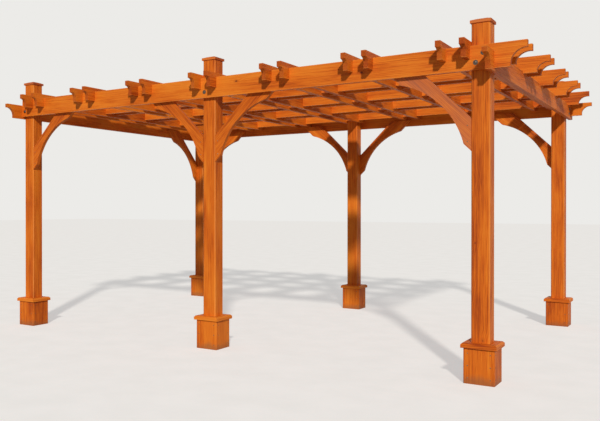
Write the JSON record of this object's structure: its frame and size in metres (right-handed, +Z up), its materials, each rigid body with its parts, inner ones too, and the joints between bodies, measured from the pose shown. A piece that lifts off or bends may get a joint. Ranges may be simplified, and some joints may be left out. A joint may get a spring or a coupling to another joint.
{
  "type": "wooden pergola",
  "caption": "Free-standing open timber pergola with boxed post feet, curved knee braces and a flat roof grid of crossed boards with shaped tails.",
  "frame": {"origin": "middle of the plan on the ground, below the centre of the roof grid", "axes": "+X along the long side with its two bays, +Y from the front with the deep beam to the rear, +Z up"},
  "size_m": [5.71, 4.088, 2.816],
  "materials": {
    "post_wood": "satin orange-brown stain",
    "cap_wood": "satin orange-brown stain",
    "foot_wood": "satin orange-brown stain",
    "board_wood": "satin orange-brown stain",
    "brace_wood": "satin orange-brown stain"
  },
  "bodies": {
    "root": {"braces_front_left": "brace_wood", "braces_front_middle": "brace_wood", "braces_front_right": "brace_wood", "braces_rear_left": "brace_wood", "braces_rear_middle": "brace_wood", "braces_rear_right": "brace_wood", "cap_front_left": "cap_wood", "cap_front_middle": "cap_wood", "cap_front_right": "cap_wood", "cap_rear_left": "cap_wood", "cap_rear_middle": "cap_wood", "cap_rear_right": "cap_wood", "collar_front_left": "foot_wood", "collar_front_middle": "foot_wood", "collar_front_right": "foot_wood", "collar_rear_left": "foot_wood", "collar_rear_middle": "foot_wood", "collar_rear_right": "foot_wood", "foot_box_front_left": "foot_wood", "foot_box_front_middle": "foot_wood", "foot_box_front_right": "foot_wood", "foot_box_rear_left": "foot_wood", "foot_box_rear_middle": "foot_wood", "foot_box_rear_right": "foot_wood", "front_beam_pair": "board_wood", "post_front_left": "post_wood", "post_front_middle": "post_wood", "post_front_right": "post_wood", "post_rear_left": "post_wood", "post_rear_middle": "post_wood", "post_rear_right": "post_wood", "purlin_pair_1": "board_wood", "purlin_pair_2": "board_wood", "purlin_pair_3": "board_wood", "rafter_pair_1": "board_wood", "rafter_pair_2": "board_wood", "rafter_pair_3": "board_wood", "rafter_pair_4": "board_wood", "rafter_pair_5": "board_wood", "rafter_pair_6": "board_wood", "rafter_pair_7": "board_wood", "rear_beam_pair": "board_wood", "side_beam_left": "board_wood", "side_beam_right": "board_wood"}
  },
  "joints": []
}
